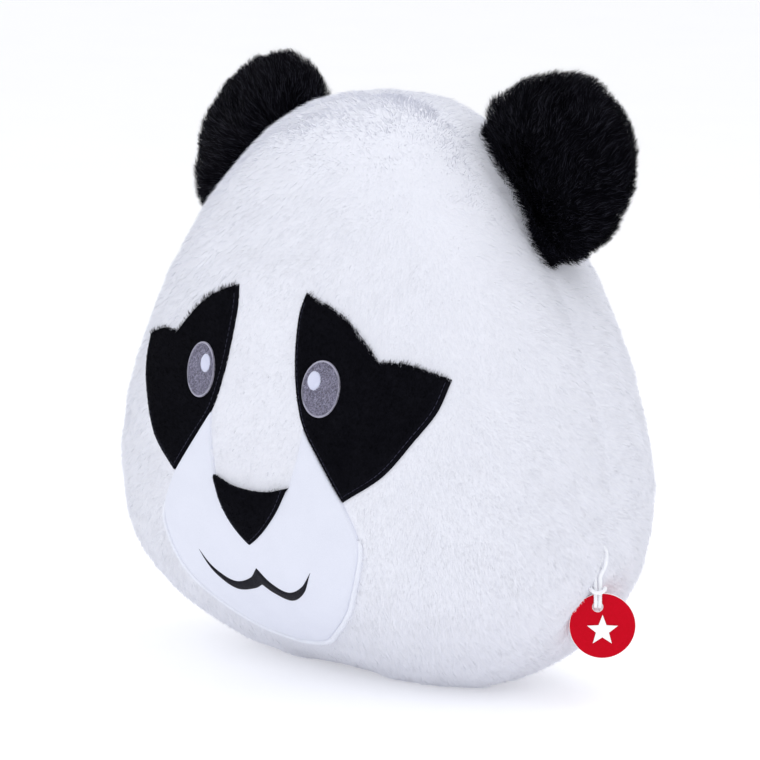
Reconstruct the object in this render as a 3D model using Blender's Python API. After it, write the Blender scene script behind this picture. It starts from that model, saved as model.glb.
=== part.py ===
"""Plush panda head cushion: sewn shell panels over a filling, two ears, applique face, hang tag.

Frame: metres, +Z up, the face looks along -Y and the panda's left ear is at +X. The origin is on
the flat patch that the cushion stands on, a little in front of the seam between face and back.
Everything is modelled with that seam at y = 0 and then set back by SEAM_SETBACK.
"""

import math

import bmesh
import bpy
import numpy as np
from mathutils import Matrix, Vector

# ---------------------------------------------------------------- driving dimensions
MM = 0.001
GAP = 0.3 * MM
FILLING_GAP = 1.2 * MM

SEAM_SETBACK = 0.005
FORM_CENTRE_Z = 0.130
FORM_SINK = 2.5 * MM
FACE_DEPTH = 0.098
FACE_POWER = 2.4
CHIN_SWELL = 0.125
CHIN_SWELL_REACH = 0.150
CHIN_TUCK = 0.48
CHIN_TUCK_START = -0.050
CHIN_TUCK_REACH = 0.080
BACK_DEPTH = 0.0825
BACK_POWER = 2.9
FORM_SEGMENTS = 40
FORM_RINGS = 22
GUIDE_REACH = 0.4
# Right half of the seam outline, from the bottom to the crown.
SEAM_OUTLINE = [
    (0.0000, 0.0000), (0.0545, 0.0010), (0.1030, 0.0140), (0.1475, 0.0515), (0.1652, 0.1055),
    (0.1550, 0.1645), (0.1300, 0.2190), (0.0935, 0.2695), (0.0470, 0.3078), (0.0000, 0.3180),
]
OUTLINE_STEPS = 12

PANEL_THICKNESS = 3.0 * MM
MUZZLE_LAYER = (0.7 * MM, 1.6 * MM)
PATCH_LAYER = (0.3 * MM, 1.8 * MM)
IRIS_LAYER = (2.1 * MM, 2.7 * MM)
HIGHLIGHT_LAYER = (3.0 * MM, 3.4 * MM)
NOSE_LAYER = (1.8 * MM, 3.2 * MM)
MOUTH_LAYER = (1.8 * MM, 2.6 * MM)

# Face outlines on the frontal plane, x and z, as runs from corner to corner.
EYE_PATCH = [
    [(0.0262, 0.2221), (0.0503, 0.2132), (0.0655, 0.2018), (0.0775, 0.1904)],
    [(0.0775, 0.1904), (0.0885, 0.1907), (0.0990, 0.1890), (0.1155, 0.1838)],
    [(0.1155, 0.1838), (0.1120, 0.1672), (0.1030, 0.1520), (0.0880, 0.1320), (0.0650, 0.1160)],
    [(0.0650, 0.1160), (0.0495, 0.1350), (0.0355, 0.1528), (0.0285, 0.1715), (0.0250, 0.1900),
     (0.0238, 0.2100), (0.0262, 0.2221)],
]
MUZZLE_OUTER = [
    (0.0000, 0.0262), (0.0190, 0.0292), (0.0345, 0.0362), (0.0600, 0.0560), (0.0732, 0.0800),
    (0.0748, 0.0970), (0.0642, 0.1152),
]
MUZZLE_EYE_EDGE = [(0.0642, 0.1152), (0.0488, 0.1341), (0.0352, 0.1513)]
MUZZLE_BRIDGE_EDGE = [(0.0352, 0.1513), (0.0332, 0.1370), (0.0285, 0.1192)]
MUZZLE_TOP = [(0.0285, 0.1192), (0.014, 0.1135), (0.000, 0.1125)]
NOSE_TOP = [(0.000, 0.1143), (0.014, 0.1153), (0.0285, 0.1192)]
NOSE_SIDE = [(0.0285, 0.1192), (0.0225, 0.1066), (0.0150, 0.0968), (0.0070, 0.0895), (0.000, 0.0848)]
MOUTH_UPPER = [(0.000, 0.0724), (0.008, 0.0655), (0.021, 0.0617), (0.034, 0.0670), (0.0442, 0.0772)]
MOUTH_LOWER = [(0.0442, 0.0772), (0.035, 0.0641), (0.022, 0.0569), (0.008, 0.0590), (0.000, 0.0624)]
IRIS_CENTRE = (0.0460, 0.1736)
IRIS_RADII = (0.0114, 0.0140)
HIGHLIGHT_CENTRE = (0.0417, 0.1776)
HIGHLIGHT_RADII = (0.0041, 0.0049)

EYE_PATCH_THREAD_INSET = 2.2 * MM
NOSE_THREAD_INSET = 1.8 * MM
THREAD_RADIUS = 0.3 * MM
RIM_RADIUS = 0.45 * MM
RIDGE_RADIUS = 0.9 * MM
RIDGE_OFFSET = 1.4 * MM
RIDGE_STOP = 4

CLOSING_SEAM_Z = (0.070, 0.200)
CLOSING_SEAM_CLEARANCE = 0.5 * MM

# Each ear is a disc cut off at its base, hinged along the chord between the ends of that base.
EAR_BASE_ENDS = ((0.0550, 0.0189, 0.3036), (0.1245, 0.0030, 0.2310))
EAR_RADIUS = 0.0530
EAR_DISC_CENTRE = 0.0235
EAR_HALF_THICKNESS = 0.017
EAR_BASE_HALF_THICKNESS = 1.2 * MM
EAR_TAPER = 0.026
EAR_HINGE_HEIGHT = 9.0 * MM
EAR_CLEARANCE = 4.0 * MM
EAR_ROOT_LAYER = (0.4 * MM, 1.6 * MM)
EAR_ROOT_HALF_THICKNESS = 1.5 * MM
EAR_ROOT_REACH = 0.046
EAR_ROOT_DEPTH = 0.010
EAR_LEAN = math.radians(17)
EAR_CUP = 0.6
EAR_PANEL_THICKNESS = 2.5 * MM
EAR_CORE_FLOOR = 13.0 * MM
EAR_FILL_INSET = 4.0 * MM
EAR_SEGMENTS = 24
EAR_RINGS = 12

# The hang tag faces half way between the front and the panda's left.
TAG_TURN = math.radians(43.5)
TAG_CENTRE = Vector((0.1635, 0.000, 0.0477))
TAG_RADIUS = 17.5 * MM
TAG_THICKNESS = 1.2 * MM
TAG_HOLE_RADIUS = 2.8 * MM
TAG_HOLE = Vector((-2.6 * MM, 10.3 * MM))
STAR_CENTRE = -2.5 * MM
STAR_RADII = (8.5 * MM, 3.6 * MM)
STAR_POINTS = 5
STAR_LIFT = 0.2 * MM
STAR_THICKNESS = 0.3 * MM
CORD_RADIUS = 0.85 * MM
CORD_EXIT = Vector((0.1656, 0.000, 0.0880))
CORD_SPLIT_Z = 0.0710
CORD_SPLIT_GAP = 1.0 * MM
CORD_CURVE_STEPS = 2
# The hitch from the split to where it crosses itself: millimetres across, up from and ahead of the hole.
HITCH_PATH = [
    (-1.30, 12.7, 0.0), (-1.25, 10.8, 0.6), (-1.15, 7.0, 1.4), (-1.10, 4.0, 2.0), (-1.10, 1.6, 1.9),
    (-1.10, 0.0, 0.0), (-1.20, 1.6, -1.9), (-1.70, 5.0, -2.1), (-2.80, 8.6, -1.6), (-3.90, 10.0, 0.4),
    (-3.40, 9.4, 2.9), (-1.60, 8.4, 4.1),
]
HITCH_CROSSING = (0.0, 8.2, 4.2)
STRAND_SPREAD = 1.3 * MM
STRAND_BULGE = 0.6 * MM
STRAND_START = Vector((1.2 * MM, 0, -1.5 * MM))
STRAND_SAG = Vector((0.8 * MM, 0, 0.5 * MM))
STRAND_END = Vector((0, 0, 3 * MM))

FACE_WHITE = (0.90, 0.91, 0.95)
MUZZLE_WHITE = (0.93, 0.94, 0.97)
PLUSH_BLACK = (0.010, 0.010, 0.018)
THREAD_BLACK = (0.015, 0.015, 0.022)
IRIS_GREY = (0.20, 0.19, 0.22)
RIM_GREY = (0.55, 0.55, 0.60)
FILL_WHITE = (0.85, 0.85, 0.86)
TAG_RED = (0.68, 0.005, 0.020)
CORD_WHITE = (0.90, 0.90, 0.94)


# ---------------------------------------------------------------- scene and materials
def clear_scene():
    for obj in list(bpy.data.objects):
        bpy.data.objects.remove(obj, do_unlink=True)


def new_collection(name):
    collection = bpy.data.collections.new(name)
    bpy.context.scene.collection.children.link(collection)
    return collection


def dress(obj, colour, roughness):
    material = bpy.data.materials.new(obj.name)
    material.use_nodes = True
    shader = material.node_tree.nodes["Principled BSDF"]
    shader.inputs["Base Color"].default_value = (*colour, 1)
    shader.inputs["Roughness"].default_value = roughness
    shader.inputs["Metallic"].default_value = 0
    obj.data.materials.clear()
    obj.data.materials.append(material)


def mesh_object(name, mesh, collection):
    obj = bpy.data.objects.new(name, mesh)
    collection.objects.link(obj)
    return obj


def hide_guide(obj):
    obj.hide_render = True
    obj.display_type = "WIRE"


def boolean(obj, operation, other):
    modifier = obj.modifiers.new(operation.lower(), "BOOLEAN")
    modifier.operation = operation
    modifier.solver = "EXACT"
    modifier.object = other


# ---------------------------------------------------------------- curves in the plane
def catmull_rom(points, steps):
    """A smooth line through the points, with this many pieces from one to the next."""
    ring = [np.array(p, float) for p in points]
    ring = [2 * ring[0] - ring[1], *ring, 2 * ring[-1] - ring[-2]]
    line = []
    for a, b, c, d in zip(ring, ring[1:], ring[2:], ring[3:]):
        for t in np.arange(steps) / steps:
            line.append(0.5 * (2 * b + (c - a) * t + (2 * a - 5 * b + 4 * c - d) * t**2
                               + (3 * b - a - 3 * c + d) * t**3))
    return line + [ring[-2]]


def closed_outline(runs, steps=4):
    """The runs end to end, each smooth in itself, with a corner where two meet."""
    return [point for run in runs for point in catmull_rom(run, steps)[:-1]]


def mirrored_outline(runs, steps=4):
    """Runs from the middle line out and back to it, with their mirror image added."""
    half = [point for run in runs for point in catmull_rom(run, steps)[:-1]]
    half.append(np.array(runs[-1][-1], float))
    return half + [np.array((-x, z)) for x, z in reversed(half[1:-1])]


def ellipse(centre, radii, count=28):
    angles = np.arange(count) * 2 * math.pi / count
    return [np.array((centre[0] + radii[0] * math.cos(angle), centre[1] + radii[1] * math.sin(angle)))
            for angle in angles]


def offset_outline(points, distance, closed=True):
    """The line moved this far to its right."""
    moved = []
    count = len(points)
    for i, point in enumerate(points):
        before = points[i - 1] if closed or i else point
        after = points[(i + 1) % count] if closed or i < count - 1 else point
        along = after - before
        normal = np.array((along[1], -along[0])) / np.linalg.norm(along)
        moved.append(point + distance * normal)
    return moved


# ---------------------------------------------------------------- head form
def seam_radius():
    """Angles round the form's centre and the seam outline's distance at each."""
    right = catmull_rom([(-x, z) for x, z in SEAM_OUTLINE[1:3][::-1]] + SEAM_OUTLINE
                        + [(-x, z) for x, z in SEAM_OUTLINE[-3:-1][::-1]], OUTLINE_STEPS)
    points = np.array(right)[2 * OUTLINE_STEPS:-2 * OUTLINE_STEPS]
    z = points[:, 1] - FORM_CENTRE_Z
    return np.arctan2(z, np.maximum(points[:, 0], 0)), np.hypot(points[:, 0], z)


SEAM_ANGLES, SEAM_RADII = seam_radius()


def outline_radius(x, z):
    return np.interp(math.atan2(z, abs(x)), SEAM_ANGLES, SEAM_RADII)


def swell(z):
    """How much deeper than FACE_DEPTH the face is at this height over the form's centre."""
    tuck = CHIN_TUCK * min(max((CHIN_TUCK_START - z) / CHIN_TUCK_REACH, 0), 1)**2
    return (1 - CHIN_SWELL * z / CHIN_SWELL_REACH) * (1 - tuck)


def surface_y(x, z):
    """The face surface's y over a point of the frontal plane."""
    up = z - FORM_CENTRE_Z
    share = min(math.hypot(x, up) / outline_radius(x, up), 1)
    return -FACE_DEPTH * swell(up) * (1 - share**FACE_POWER) ** (1 / FACE_POWER)


def surface_point(x, z, height):
    """The point in front of this place of the frontal plane, this far out from the face surface."""
    step = 0.5 * MM
    slope_x = (surface_y(x + step, z) - surface_y(x - step, z)) / (2 * step)
    slope_z = (surface_y(x, z + step) - surface_y(x, z - step)) / (2 * step)
    return Vector((x, surface_y(x, z) - height * math.hypot(1, slope_x, slope_z), z))


def head_mesh(name, growth):
    """The closed head form, grown along its normals, and flat where it stands."""
    bm = bmesh.new()
    bmesh.ops.create_uvsphere(bm, u_segments=FORM_SEGMENTS, v_segments=FORM_RINGS, radius=1)
    for vertex in bm.verts:
        across, up, ahead = vertex.co
        depth, power = (FACE_DEPTH, FACE_POWER) if ahead > 0 else (BACK_DEPTH, BACK_POWER)
        out = math.hypot(across, up)
        if out < 1e-6:
            across, up = 0, 0
            share = 0
        else:
            share = min(out, 1) ** (2 / power)
            scale = share * outline_radius(across, up) / out
            across, up = across * scale, up * scale
        y = -depth * math.copysign(max(1 - share**power, 0) ** (1 / power), ahead)
        if ahead > 0:
            y *= swell(up)
        vertex.co = (across, y, FORM_CENTRE_Z + up)
    bm.normal_update()
    moves = [vertex.normal * growth for vertex in bm.verts]
    for vertex, move in zip(bm.verts, moves):
        vertex.co += move
        vertex.co.z = max(vertex.co.z - FORM_SINK, -growth if growth < 0 else 0)
    mesh = bpy.data.meshes.new(name)
    bm.to_mesh(mesh)
    bm.free()
    return mesh


class Forms:
    """Hidden head forms, one for each distance from the fabric's surface."""

    def __init__(self, collection):
        self.collection = collection
        self.made = {}

    def at(self, growth):
        key = round(growth / MM, 2)
        if key not in self.made:
            name = f"guide_form_{len(self.made)}"
            self.made[key] = mesh_object(name, head_mesh(name, growth), self.collection)
            hide_guide(self.made[key])
        return self.made[key]


def box_mesh(name, low, high):
    bm = bmesh.new()
    bmesh.ops.create_cube(bm, size=1)
    for vertex in bm.verts:
        vertex.co = [low[i] + (vertex.co[i] + 0.5) * (high[i] - low[i]) for i in range(3)]
    mesh = bpy.data.meshes.new(name)
    bm.to_mesh(mesh)
    bm.free()
    return mesh


def guide_box(name, low, high, collection):
    box = mesh_object(name, box_mesh(name, low, high), collection)
    hide_guide(box)
    return box


# ---------------------------------------------------------------- curve pieces
def prism_mesh(name, outline, thickness):
    """A flat outline extruded to this thickness about the frontal plane, with x and z kept."""
    curve = bpy.data.curves.new(name, "CURVE")
    curve.dimensions = "2D"
    curve.fill_mode = "BOTH"
    curve.extrude = thickness / 2
    for points in outline:
        spline = curve.splines.new("POLY")
        spline.points.add(len(points) - 1)
        spline.use_cyclic_u = True
        for target, (x, z) in zip(spline.points, points):
            target.co = (x, z, 0, 1)
    return curve_to_mesh(name, curve, Matrix.Rotation(math.pi / 2, 4, "X"))


def curve_to_mesh(name, curve, placement):
    holder = bpy.data.objects.new(name, curve)
    bpy.context.scene.collection.objects.link(holder)
    graph = bpy.context.evaluated_depsgraph_get()
    mesh = bpy.data.meshes.new_from_object(holder.evaluated_get(graph))
    bpy.data.objects.remove(holder, do_unlink=True)
    bpy.data.curves.remove(curve)
    bm = bmesh.new()
    bm.from_mesh(mesh)
    bmesh.ops.remove_doubles(bm, verts=bm.verts, dist=1e-6)
    bmesh.ops.transform(bm, matrix=placement, verts=bm.verts)
    bmesh.ops.recalc_face_normals(bm, faces=bm.faces)
    bm.to_mesh(mesh)
    bm.free()
    mesh.name = name
    return mesh


def tube(name, points, radius, collection, closed=False, resolution=0):
    """A thread or cord along the points, as a curve with a round bevel."""
    curve = bpy.data.curves.new(name, "CURVE")
    curve.dimensions = "3D"
    curve.bevel_depth = radius
    curve.bevel_resolution = resolution
    curve.use_fill_caps = not closed
    spline = curve.splines.new("POLY")
    spline.points.add(len(points) - 1)
    spline.use_cyclic_u = closed
    for target, point in zip(spline.points, points):
        target.co = (*point, 1)
    obj = bpy.data.objects.new(name, curve)
    collection.objects.link(obj)
    return obj


def face_thread(name, outline, height, radius, collection, closed=True):
    points = [surface_point(x, z, height) - Vector((0, 0, FORM_SINK)) for x, z in outline]
    return tube(name, points, radius, collection, closed)


# ---------------------------------------------------------------- head
def applique(name, outline, layer, forms, collection):
    """A piece of fabric or embroidery of this outline, lying on the face between two heights."""
    low, high = layer
    depth = 2 * FACE_DEPTH
    mesh = prism_mesh(name, [outline], depth)
    mesh.transform(Matrix.Translation((0, -depth / 2 - FACE_DEPTH / 3, -FORM_SINK)))
    obj = mesh_object(name, mesh, collection)
    boolean(obj, "INTERSECT", forms.at(high))
    boolean(obj, "DIFFERENCE", forms.at(low))
    return obj


def build_shell(parts, guides, forms):
    """The sewn cover: one face panel, two back panels, and the filling inside."""
    inner = forms.at(-PANEL_THICKNESS)
    front = guide_box("guide_front", (-GUIDE_REACH,) * 3, (GUIDE_REACH, -GAP / 2, GUIDE_REACH), guides)
    face = mesh_object("face_panel", head_mesh("face_panel", 0), parts)
    boolean(face, "INTERSECT", front)
    boolean(face, "DIFFERENCE", inner)
    dress(face, FACE_WHITE, 0.95)
    for side, sign in (("left", 1), ("right", -1)):
        ends = sorted((sign * GAP / 2, sign * GUIDE_REACH))
        half = guide_box(f"guide_back_{side}", (ends[0], GAP / 2, -GUIDE_REACH),
                         (ends[1], GUIDE_REACH, GUIDE_REACH), guides)
        name = f"back_panel_{side}"
        panel = mesh_object(name, head_mesh(name, 0), parts)
        boolean(panel, "INTERSECT", half)
        boolean(panel, "DIFFERENCE", inner)
        dress(panel, FACE_WHITE, 0.95)
    filling = head_mesh("head_stuffing", -PANEL_THICKNESS - FILLING_GAP)
    dress(mesh_object("head_stuffing", filling, parts), FILL_WHITE, 1.0)


def build_closing_seam(parts):
    """The thread that closes the back, on the outside of the centre back seam."""
    points = []
    for z in np.linspace(*CLOSING_SEAM_Z, 24):
        up = z - FORM_CENTRE_Z
        share = abs(up) / outline_radius(0, up)
        y = BACK_DEPTH * (1 - share**BACK_POWER) ** (1 / BACK_POWER)
        points.append((0, y + CLOSING_SEAM_CLEARANCE + THREAD_RADIUS, z - FORM_SINK))
    thread = tube("closing_seam_thread", points, THREAD_RADIUS, parts)
    dress(thread, CORD_WHITE, 0.6)


def mirrored(points, sign):
    return [np.array((sign * x, z)) for x, z in points]


def build_eyes(parts, forms):
    patch = closed_outline(EYE_PATCH)
    inset = offset_outline(patch, -EYE_PATCH_THREAD_INSET)
    iris = ellipse(IRIS_CENTRE, IRIS_RADII)
    rim_gap = RIM_RADIUS + GAP
    rim = ellipse(IRIS_CENTRE, [radius + rim_gap for radius in IRIS_RADII])
    highlight = ellipse(HIGHLIGHT_CENTRE, HIGHLIGHT_RADII, 16)
    thread_height = PATCH_LAYER[1] + GAP + THREAD_RADIUS
    rim_height = PATCH_LAYER[1] + GAP + RIM_RADIUS
    for side, sign in (("left", 1), ("right", -1)):
        piece = applique(f"eye_patch_{side}", mirrored(patch, sign), PATCH_LAYER, forms, parts)
        dress(piece, PLUSH_BLACK, 0.9)
        piece = face_thread(f"eye_patch_stitching_{side}", mirrored(inset, sign), thread_height,
                            THREAD_RADIUS, parts)
        dress(piece, THREAD_BLACK, 0.5)
        piece = applique(f"iris_{side}", mirrored(iris, sign), IRIS_LAYER, forms, parts)
        dress(piece, IRIS_GREY, 0.6)
        piece = face_thread(f"iris_rim_{side}", mirrored(rim, sign), rim_height, RIM_RADIUS, parts)
        dress(piece, RIM_GREY, 0.5)
        piece = applique(f"eye_highlight_{side}", mirrored(highlight, sign), HIGHLIGHT_LAYER, forms, parts)
        dress(piece, CORD_WHITE, 0.5)


def build_muzzle(parts, forms):
    muzzle = mirrored_outline([MUZZLE_OUTER, MUZZLE_EYE_EDGE, MUZZLE_BRIDGE_EDGE, MUZZLE_TOP])
    dress(applique("muzzle_panel", muzzle, MUZZLE_LAYER, forms, parts), MUZZLE_WHITE, 0.8)
    half = catmull_rom(MUZZLE_OUTER, 4)[:-RIDGE_STOP]
    ridge = [np.array((-x, z)) for x, z in reversed(half[1:])] + half
    ridge = offset_outline(ridge, RIDGE_OFFSET, closed=False)
    piece = face_thread("muzzle_edge_stitching", ridge, RIDGE_RADIUS + 2 * GAP, RIDGE_RADIUS, parts,
                        closed=False)
    dress(piece, MUZZLE_WHITE, 0.5)

    nose = mirrored_outline([NOSE_TOP, NOSE_SIDE])
    dress(applique("nose_patch", nose, NOSE_LAYER, forms, parts), PLUSH_BLACK, 0.9)
    inset = offset_outline(nose, NOSE_THREAD_INSET)
    piece = face_thread("nose_stitching", inset, NOSE_LAYER[1] + GAP + THREAD_RADIUS, THREAD_RADIUS, parts)
    dress(piece, THREAD_BLACK, 0.5)
    mouth = mirrored_outline([MOUTH_UPPER, MOUTH_LOWER])
    dress(applique("mouth_embroidery", mouth, MOUTH_LAYER, forms, parts), THREAD_BLACK, 0.5)


# ---------------------------------------------------------------- ears
def ear_frame(sign):
    """Places an ear: its x runs along the base, its y towards the face, its z outwards."""
    inner, outer = (Vector((sign * x, y, z - FORM_SINK)) for x, y, z in EAR_BASE_ENDS)
    along = sign * (inner - outer).normalized()
    ahead = along.cross(Vector((0, -1, 0))).cross(along).normalized()
    basis = Matrix((along, ahead, along.cross(ahead))).transposed().to_4x4()
    return Matrix.Translation((inner + outer) / 2) @ basis


def lean_matrix():
    """The ear's own lean, turned back about its hinge."""
    hinge = Matrix.Translation((0, 0, EAR_HINGE_HEIGHT))
    return hinge @ Matrix.Rotation(EAR_LEAN, 4, "X") @ hinge.inverted()


def ear_mesh(name, inset):
    """The closed ear form: a puffed disc, thin at its base, cupped towards the face."""
    floor = EAR_CORE_FLOOR + inset - EAR_PANEL_THICKNESS if inset else -EAR_RADIUS
    bm = bmesh.new()
    bmesh.ops.create_uvsphere(bm, u_segments=EAR_SEGMENTS, v_segments=EAR_RINGS, radius=1)
    for vertex in bm.verts:
        along, out, ahead = vertex.co
        height = max(EAR_DISC_CENTRE + (EAR_RADIUS - inset) * out, floor)
        rise = min(max((height - EAR_HINGE_HEIGHT) / EAR_TAPER, 0), 1)
        puff = math.sin(rise * math.pi / 2)
        half = EAR_BASE_HALF_THICKNESS + (EAR_HALF_THICKNESS - EAR_BASE_HALF_THICKNESS) * puff
        along *= inset - EAR_RADIUS
        vertex.co = (along, ahead * (half - inset) + EAR_CUP * along**2, height)
    mesh = bpy.data.meshes.new(name)
    bm.to_mesh(mesh)
    bm.free()
    return mesh


def ear_half_guide(name, low, high, guides):
    """A box over one side of the ear's rim, bent as the ear is cupped."""
    reach = 2 * EAR_RADIUS
    bm = bmesh.new()
    bmesh.ops.create_cube(bm, size=1)
    level = [edge for edge in bm.edges if abs(edge.verts[0].co.x - edge.verts[1].co.x) > 0.5]
    bmesh.ops.subdivide_edges(bm, edges=level, cuts=EAR_SEGMENTS, use_grid_fill=True)
    for vertex in bm.verts:
        x = 2 * reach * vertex.co.x
        y = (low if vertex.co.y < 0 else high) + EAR_CUP * x**2
        vertex.co = (x, y, -EAR_ROOT_DEPTH + 2 * reach * (vertex.co.z + 0.5))
    mesh = bpy.data.meshes.new(name)
    bm.to_mesh(mesh)
    bm.free()
    guide = mesh_object(name, mesh, guides)
    hide_guide(guide)
    return guide


def build_ear(side, sign, parts, guides, forms):
    """Front and back panels, the filling, and the flange that the head's seam holds."""
    frame = ear_frame(sign)
    placed = frame @ lean_matrix()
    core = mesh_object(f"guide_ear_core_{side}", ear_mesh("guide_ear_core", EAR_PANEL_THICKNESS), guides)
    core.matrix_world = placed
    hide_guide(core)
    reach = EAR_RADIUS
    for panel, low, high in (("front", GAP / 2, reach), ("back", -reach, -GAP / 2)):
        half = ear_half_guide(f"guide_ear_{panel}_{side}", low, high, guides)
        half.matrix_world = placed
        name = f"ear_{panel}_{side}"
        piece = mesh_object(name, ear_mesh(name, 0), parts)
        piece.matrix_world = placed
        boolean(piece, "INTERSECT", half)
        boolean(piece, "DIFFERENCE", core)
        boolean(piece, "DIFFERENCE", forms.at(EAR_CLEARANCE))
        dress(piece, PLUSH_BLACK, 0.9)
    name = f"ear_stuffing_{side}"
    filling = mesh_object(name, ear_mesh(name, EAR_FILL_INSET), parts)
    filling.matrix_world = placed
    dress(filling, FILL_WHITE, 1.0)

    low = (-EAR_ROOT_REACH, -EAR_ROOT_HALF_THICKNESS, -EAR_ROOT_DEPTH)
    high = (EAR_ROOT_REACH, EAR_ROOT_HALF_THICKNESS, EAR_ROOT_DEPTH)
    root = mesh_object(f"ear_root_{side}", box_mesh("ear_root", low, high), parts)
    root.matrix_world = frame
    boolean(root, "INTERSECT", forms.at(EAR_ROOT_LAYER[1]))
    boolean(root, "DIFFERENCE", forms.at(EAR_ROOT_LAYER[0]))
    dress(root, PLUSH_BLACK, 0.9)


# ---------------------------------------------------------------- hang tag
def tag_frame():
    """Places the tag: its x is level in its plane, its y up, its z towards where it faces."""
    facing = Vector((math.sin(TAG_TURN), -math.cos(TAG_TURN), 0))
    level = Vector((math.cos(TAG_TURN), math.sin(TAG_TURN), 0))
    basis = Matrix((level, Vector((0, 0, 1)), facing)).transposed().to_4x4()
    return Matrix.Translation(TAG_CENTRE) @ basis


def disc_with_hole(name, parts, guides):
    bm = bmesh.new()
    bmesh.ops.create_cone(bm, cap_ends=True, segments=48, radius1=TAG_RADIUS, radius2=TAG_RADIUS,
                          depth=TAG_THICKNESS)
    mesh = bpy.data.meshes.new(name)
    bm.to_mesh(mesh)
    bm.free()
    disc = mesh_object(name, mesh, parts)
    bm = bmesh.new()
    bmesh.ops.create_cone(bm, cap_ends=True, segments=24, radius1=TAG_HOLE_RADIUS,
                          radius2=TAG_HOLE_RADIUS, depth=4 * TAG_THICKNESS)
    bmesh.ops.translate(bm, verts=bm.verts, vec=(*TAG_HOLE, 0))
    mesh = bpy.data.meshes.new("guide_tag_hole")
    bm.to_mesh(mesh)
    bm.free()
    hole = mesh_object("guide_tag_hole", mesh, guides)
    hide_guide(hole)
    boolean(disc, "DIFFERENCE", hole)
    for obj in (disc, hole):
        obj.matrix_world = tag_frame()
    return disc


def star_outline():
    points = []
    for i in range(2 * STAR_POINTS):
        radius = STAR_RADII[i % 2]
        angle = math.pi / 2 + i * math.pi / STAR_POINTS
        points.append((radius * math.cos(angle), radius * math.sin(angle)))
    return points


def hitch_points():
    """The lower cord, in the tag's frame: down the front, through the hole, up the back, over the front."""
    hole = Vector((*TAG_HOLE, 0))
    half = [hole + Vector(place) * MM for place in HITCH_PATH]
    crossing = hole + Vector(HITCH_CROSSING) * MM
    return half + [crossing] + [Vector((2 * hole.x - p.x, p.y, p.z)) for p in reversed(half)]


def strand_points(sign):
    """One upper strand, in world space, from the seam to just above the hitch."""
    split = Vector((TAG_HOLE[0] + sign * STRAND_SPREAD, CORD_SPLIT_Z - TAG_CENTRE.z + CORD_SPLIT_GAP, 0))
    low = tag_frame() @ split
    level = sign * Vector((math.cos(TAG_TURN), math.sin(TAG_TURN), 0))
    high = CORD_EXIT + STRAND_SPREAD * level
    middle = (low + high) / 2 + STRAND_SAG + STRAND_BULGE * level
    return [high, high + STRAND_START, middle, low + STRAND_END, low]


def build_tag(parts, guides):
    dress(disc_with_hole("tag_disc", parts, guides), TAG_RED, 0.4)
    star = prism_mesh("tag_star", [star_outline()], STAR_THICKNESS)
    star.transform(Matrix.Rotation(-math.pi / 2, 4, "X"))
    lift = TAG_THICKNESS / 2 + STAR_LIFT + STAR_THICKNESS / 2
    emblem = mesh_object("tag_star", star, parts)
    emblem.matrix_world = tag_frame() @ Matrix.Translation((0, STAR_CENTRE, lift))
    dress(emblem, CORD_WHITE, 0.5)

    frame = tag_frame()
    hitch = [frame @ Vector(p) for p in catmull_rom(hitch_points(), CORD_CURVE_STEPS)]
    dress(tube("tag_cord_hitch", hitch, CORD_RADIUS, parts, resolution=2), CORD_WHITE, 0.6)
    for name, sign in (("tag_cord_strand_front", -1), ("tag_cord_strand_rear", 1)):
        points = catmull_rom(strand_points(sign), CORD_CURVE_STEPS)
        dress(tube(name, points, CORD_RADIUS, parts, resolution=2), CORD_WHITE, 0.6)


# ---------------------------------------------------------------- assembly
def main():
    clear_scene()
    parts = new_collection("panda_head_cushion")
    guides = new_collection("guides")
    forms = Forms(guides)
    build_shell(parts, guides, forms)
    build_closing_seam(parts)
    build_eyes(parts, forms)
    build_muzzle(parts, forms)
    for side, sign in (("left", 1), ("right", -1)):
        build_ear(side, sign, parts, guides, forms)
    build_tag(parts, guides)
    seat = bpy.data.objects.new("panda_head", None)
    seat.location.y = SEAM_SETBACK
    bpy.context.scene.collection.objects.link(seat)
    for obj in [*parts.objects, *guides.objects]:
        obj.parent = seat
    for obj in parts.objects:
        if obj.type == "MESH":
            obj.data.shade_smooth()
            obj.data.set_sharp_from_angle(angle=math.radians(40))


main()
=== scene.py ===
"""The look of the panda head cushion: plush pile, velour, embroidery, hang tag and cord over the CAD frame."""
import math

import bmesh
import bpy
import numpy as np
from mathutils import Matrix, Vector, geometry
from mathutils.bvhtree import BVHTree
from mathutils.kdtree import KDTree


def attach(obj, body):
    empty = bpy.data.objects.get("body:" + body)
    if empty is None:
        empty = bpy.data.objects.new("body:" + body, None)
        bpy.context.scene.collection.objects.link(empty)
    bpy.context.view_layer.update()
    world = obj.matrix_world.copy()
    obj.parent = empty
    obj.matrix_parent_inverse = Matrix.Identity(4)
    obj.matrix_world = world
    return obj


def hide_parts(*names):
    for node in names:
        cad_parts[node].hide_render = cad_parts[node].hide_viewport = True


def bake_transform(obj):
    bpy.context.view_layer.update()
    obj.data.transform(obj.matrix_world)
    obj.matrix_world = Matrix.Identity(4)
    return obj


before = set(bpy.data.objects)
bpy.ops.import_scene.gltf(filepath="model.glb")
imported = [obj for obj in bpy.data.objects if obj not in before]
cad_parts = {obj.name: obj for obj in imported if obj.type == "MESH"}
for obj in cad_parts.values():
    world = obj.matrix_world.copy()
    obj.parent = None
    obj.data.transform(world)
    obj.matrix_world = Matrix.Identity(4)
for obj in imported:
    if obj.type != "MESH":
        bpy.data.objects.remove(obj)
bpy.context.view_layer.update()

MM = 0.001
RNG = np.random.default_rng(41)

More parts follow.
